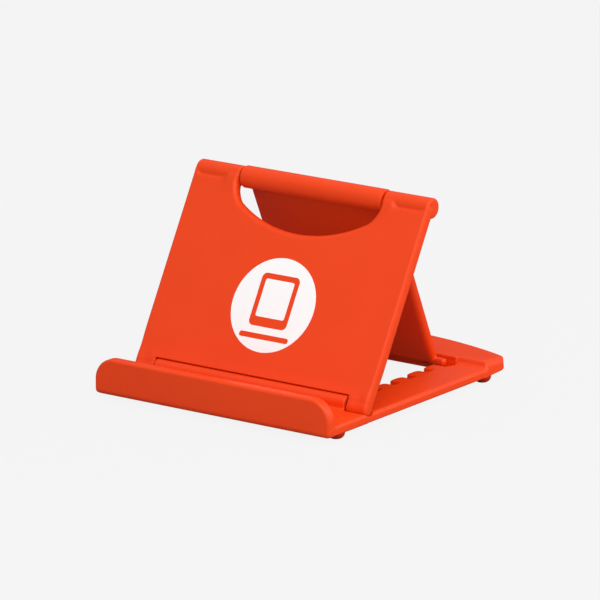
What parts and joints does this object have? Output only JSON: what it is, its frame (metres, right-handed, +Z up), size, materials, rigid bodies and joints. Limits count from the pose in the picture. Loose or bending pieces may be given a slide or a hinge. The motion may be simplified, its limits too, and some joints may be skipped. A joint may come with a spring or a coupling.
{
  "type": "folding tablet stand",
  "caption": "Folding stand with a lipped base tray, a hinged backrest and a hinged rear leg that stands in steps of the base's window.",
  "frame": {"origin": "on the table under the middle of the base's bounding box", "axes": "+X to the right seen from the front, +Y from the front lip to the rear, +Z up"},
  "size_m": [0.102, 0.1204, 0.0756],
  "materials": {
    "orange_plastic": "fine satin moulded plastic, orange-red",
    "foot_rubber": "matte rubber, dark orange-red",
    "steel": "drawn steel rod",
    "print_white": "thin white pad-printed ink"
  },
  "bodies": {
    "base": {"base_frame": "orange_plastic", "foot_front_left": "foot_rubber", "foot_front_right": "foot_rubber", "foot_rear_left": "foot_rubber", "foot_rear_right": "foot_rubber"},
    "backrest": {"backrest_panel": "orange_plastic", "top_hinge_rod": "steel", "bottom_hinge_rod": "steel"},
    "leg": {"prop_leg": "orange_plastic"}
  },
  "joints": [
    {"name": "backrest_hinge", "type": "hinge", "parent": "base", "child": "backrest", "pos_m": [0, -0.03515, 0.00795], "axis": [1, 0, 0], "range_deg": [0, 90]},
    {"name": "leg_hinge", "type": "hinge", "parent": "backrest", "child": "leg", "pos_m": [0, 0.00287, 0.07157], "axis": [1, 0, 0], "range_deg": [-52.5, 0]}
  ],
  "couplings": [
    {"joint": "leg_hinge", "follows": "backrest_hinge", "ratio": -0.583}
  ]
}
